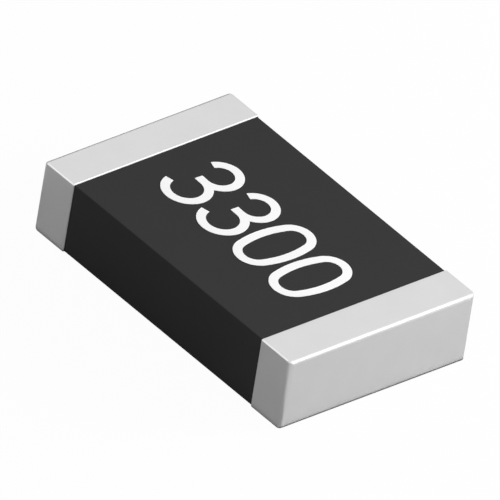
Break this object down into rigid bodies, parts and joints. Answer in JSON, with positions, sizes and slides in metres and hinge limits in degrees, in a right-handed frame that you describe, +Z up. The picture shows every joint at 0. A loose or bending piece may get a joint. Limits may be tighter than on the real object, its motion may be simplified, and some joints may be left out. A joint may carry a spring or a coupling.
{
  "type": "chip resistor",
  "caption": "Flat rectangular surface-mount chip resistor with a black coated ceramic body and tin-plated metal caps wrapped round both ends.",
  "frame": {"origin": "centre of the chip's outline, on the plane of its two solder faces", "axes": "+X along the length from cap to cap, +Y across the width, +Z up from the solder faces to the marked top"},
  "size_m": [0.002, 0.0012, 0.0004],
  "materials": {
    "alumina": "matte sintered white",
    "printed_silver": "fired print, dull",
    "resistor_paste": "fired, dull dark grey",
    "glaze": "fired glass, glossy",
    "black_coat": "satin black",
    "dipped_silver": "matte",
    "nickel": "satin",
    "matte_tin": "matte plated"
  },
  "bodies": {
    "root": {"ceramic_substrate": "alumina", "top_electrode_left": "printed_silver", "top_electrode_right": "printed_silver", "back_electrode_left": "printed_silver", "back_electrode_right": "printed_silver", "resistor_film": "resistor_paste", "glass_layer": "glaze", "protective_coat": "black_coat", "end_electrode_left": "dipped_silver", "end_electrode_right": "dipped_silver", "nickel_barrier_left": "nickel", "nickel_barrier_right": "nickel", "tin_termination_left": "matte_tin", "tin_termination_right": "matte_tin"}
  },
  "joints": []
}
